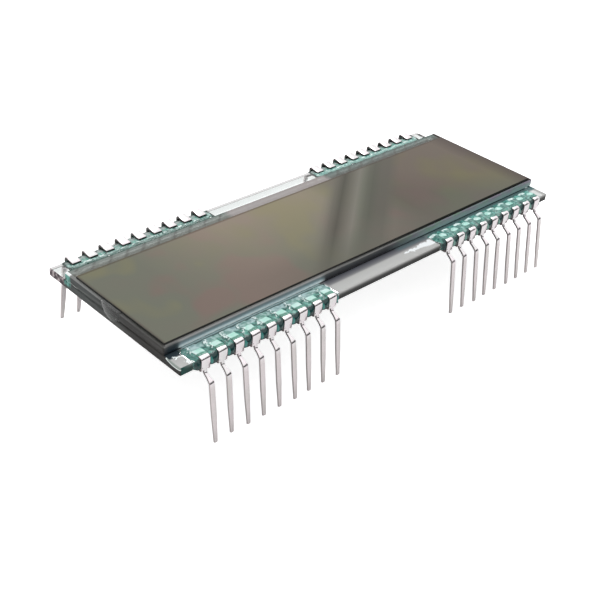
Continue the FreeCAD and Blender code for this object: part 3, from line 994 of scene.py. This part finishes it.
# Side views of the adhesive, as (out from the rear glass's edge, up from its underside)
COVER_AT_PIN = [(-2.78, 1.12), (-2.62, 1.25), (-2.45, 1.33), (-2.1, 1.40), (-1.7, 1.46), (-1.2, 1.52),
                (-0.6, 1.58), (-0.1, 1.60), (0.14, 1.42), (0.28, 0.9), (0.24, 0.2), (-0.10, -0.02)]
COVER_IN_GAP = [(-2.78, 1.12), (-2.62, 1.21), (-2.4, 1.27), (-2.1, 1.32), (-1.7, 1.36), (-1.2, 1.38),
                (-0.6, 1.39), (0.05, 1.34), (0.52, 1.02), (0.66, 0.6), (0.50, 0.1), (-0.10, -0.06)]
HEAPED_AT_PIN = [(-2.5, 1.12), (-2.38, 1.28), (-2.2, 1.42), (-1.9, 1.52), (-1.5, 1.56), (-1.1, 1.58),
                 (-0.6, 1.62), (-0.1, 1.62), (0.14, 1.42), (0.28, 0.9), (0.24, 0.2), (-0.10, -0.02)]
HEAPED_IN_GAP = [(-2.5, 1.12), (-2.38, 1.25), (-2.2, 1.38), (-1.9, 1.46), (-1.5, 1.46), (-1.1, 1.44),
                 (-0.6, 1.42), (0.05, 1.32), (0.48, 1.0), (0.58, 0.6), (0.44, 0.1), (-0.10, -0.06)]
OPEN_AT_PIN = [(-2.2, 1.115), (-2.0, 1.13), (-1.8, 1.17), (-1.65, 1.20), (-1.52, 1.22), (-1.42, 1.20),
               (-1.1, 1.14), (-0.4, 1.12), (0.05, 1.02), (0.22, 0.6), (0.18, 0.2), (-0.10, -0.02)]
OPEN_IN_GAP = [(-2.2, 1.115), (-2.0, 1.13), (-1.8, 1.16), (-1.65, 1.18), (-1.52, 1.19), (-1.42, 1.18),
               (-1.1, 1.14), (-0.4, 1.12), (0.05, 1.04), (0.24, 0.7), (0.18, 0.2), (-0.10, -0.03)]
GLASS_LINE = [(-0.12, -0.002), (0.002, 0.12), (0.002, 0.98), (-0.12, 1.102)]

# Each bead's side views at a pin and between two pins, its lumps and its domes over the jaws
BEADS = {
    ("front", "left"): (COVER_AT_PIN, COVER_IN_GAP, 0.03, 0.0),
    ("front", "right"): (HEAPED_AT_PIN, HEAPED_IN_GAP, 0.05, 0.14),
    ("back", "left"): (OPEN_AT_PIN, OPEN_IN_GAP, 0.05, 0.0),
    ("back", "right"): (OPEN_AT_PIN, OPEN_IN_GAP, 0.05, 0.0),
}


def make_glue(name, material, at_pin, in_gap, seed, lump, domes):
    """One bead on x = 0: a skin lofted along X between two side views, closed on the glass."""
    at_pin = curve_through(at_pin, SKIN_STEPS)
    in_gap = curve_through(in_gap, SKIN_STEPS)
    half = SPAN / 2 + HEAD / 2 + BEAD_OVERRUN
    count = int(2 * half / RING_SPACING)
    on_glass = GLASS_LINE + [(at_pin[0][0], GLASS + 0.002)]
    rings = []
    for number in range(count + 1):
        x = -half + 2 * half * number / count
        pin = min(max(round((x + SPAN / 2) / PITCH), 0), PINS - 1) * PITCH - SPAN / 2
        places = []
        for index, (pin_place, gap_place) in enumerate(zip(at_pin, in_gap)):
            along = index / SKIN_STEPS
            share = pin_share(abs(x - pin), along)
            out, up = [first * share + second * (1 - share) for first, second in zip(pin_place, gap_place)]
            lumps = lump * lumps_at(x, out, up, seed)
            free = smooth_step(0.0, 0.12, along) * (1 - smooth_step(0.86, 1.0, along))
            dome = domes * math.exp(-(((x - pin - 0.08) / 0.55) ** 2 + ((out + 1.05) / 0.42) ** 2))
            level = 1 - smooth_step(0.5, 0.62, along)
            up += free * (lumps * (0.4 + 0.6 * level) + dome)
            out += free * lumps * (1 - level)
            ragged = 0.35 * field.noise(Vector((seed + 7.3, out * 1.7, up * 1.7 + math.copysign(4, x))))
            places.append(settled(out, up, smooth_step(0.0, 0.5, half - abs(x) + ragged - 0.2)))
        rings.append([(x, -GLASS_EDGE - out, UNDERSIDE + up) for out, up in places + on_glass])
    shell = Shell()
    shell.tube(rings)
    return shell.piece(name, material, math.radians(80))


def dress_group(side, end, tin, glues):
    """The finer pins and beads of one end."""
    middle = side * GROUP_MIDDLE
    seeds = {"front": 3.0 + side, "back": 11.0 + side}
    for face, turned in (("front", False), ("back", True)):
        chance = random.Random(seeds[face])
        for number in range(1, PINS + 1):
            node = f"pin_{face}_{end}_{number}"
            piece = make_pin(f"tin_{face}_{end}_{number}", tin, chance)
            place_piece(piece, middle + (number - 1) * PITCH - SPAN / 2, turned)
            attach(piece, "root")
            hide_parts(node)
        node = f"glue_{face}_{end}"
        at_pin, in_gap, lump, domes = BEADS[face, end]
        piece = make_glue(f"bead_{face}_{end}", glues[face, end], at_pin, in_gap, seeds[face], lump, domes)
        place_piece(piece, middle, turned)
        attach(piece, "root")
        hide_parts(node)


def main():
    """Loads the solids, dresses them and sets the light and the camera."""
    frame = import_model()
    nodes = frame["nodes"]
    bpy.context.scene.view_settings.view_transform = "Standard"
    make_camera()
    make_world()
    make_floor()
    make_softbox("key", place=(0.20, 0.10, 0.45), target=(0.0, 0.0, 0.0), size=(0.35, 0.35), power=1.1)
    finish_with(nodes, make_glass(), "rear_glass", "front_glass")
    finish_with(nodes, make_film(), "front_polarizer")
    finish_with(nodes, make_rear_film(), "rear_polarizer")
    finish_with(nodes, make_veil("liquid_crystal", (0.72, 0.70, 0.70), 0.15), "liquid_crystal")
    finish_with(nodes, make_veil("seal", (0.72, 0.70, 0.70), 0.3), "seal_frame")
    finish_with(nodes, make_silver(), "transfer_dots")
    end_resin = make_resin("end_seal", tint=(0.72, 0.78, 0.76), density=300.0,
                           haze_colour=(0.3, 0.32, 0.3), haze_share=0.06)
    finish_with(nodes, end_resin, "end_seal")
    tin = make_tin()
    green = dict(tint=(0.20, 0.75, 0.63), density=1700.0, haze_colour=(0.25, 0.62, 0.52), haze_share=0.06)
    glues = {
        ("front", "left"): make_resin("adhesive_front_left", **green, paint=paint_front_left),
        ("front", "right"): make_resin("adhesive_front_right", **green, paint=paint_front_right),
        ("back", "left"): make_resin("adhesive_back_left", **green, paint=lambda tree: paint_back(tree, -1)),
        ("back", "right"): make_resin("adhesive_back_right", **green, paint=lambda tree: paint_back(tree, 1)),
    }
    for side, end in ((-1, "left"), (1, "right")):
        dress_group(side, end, tin, glues)


main()
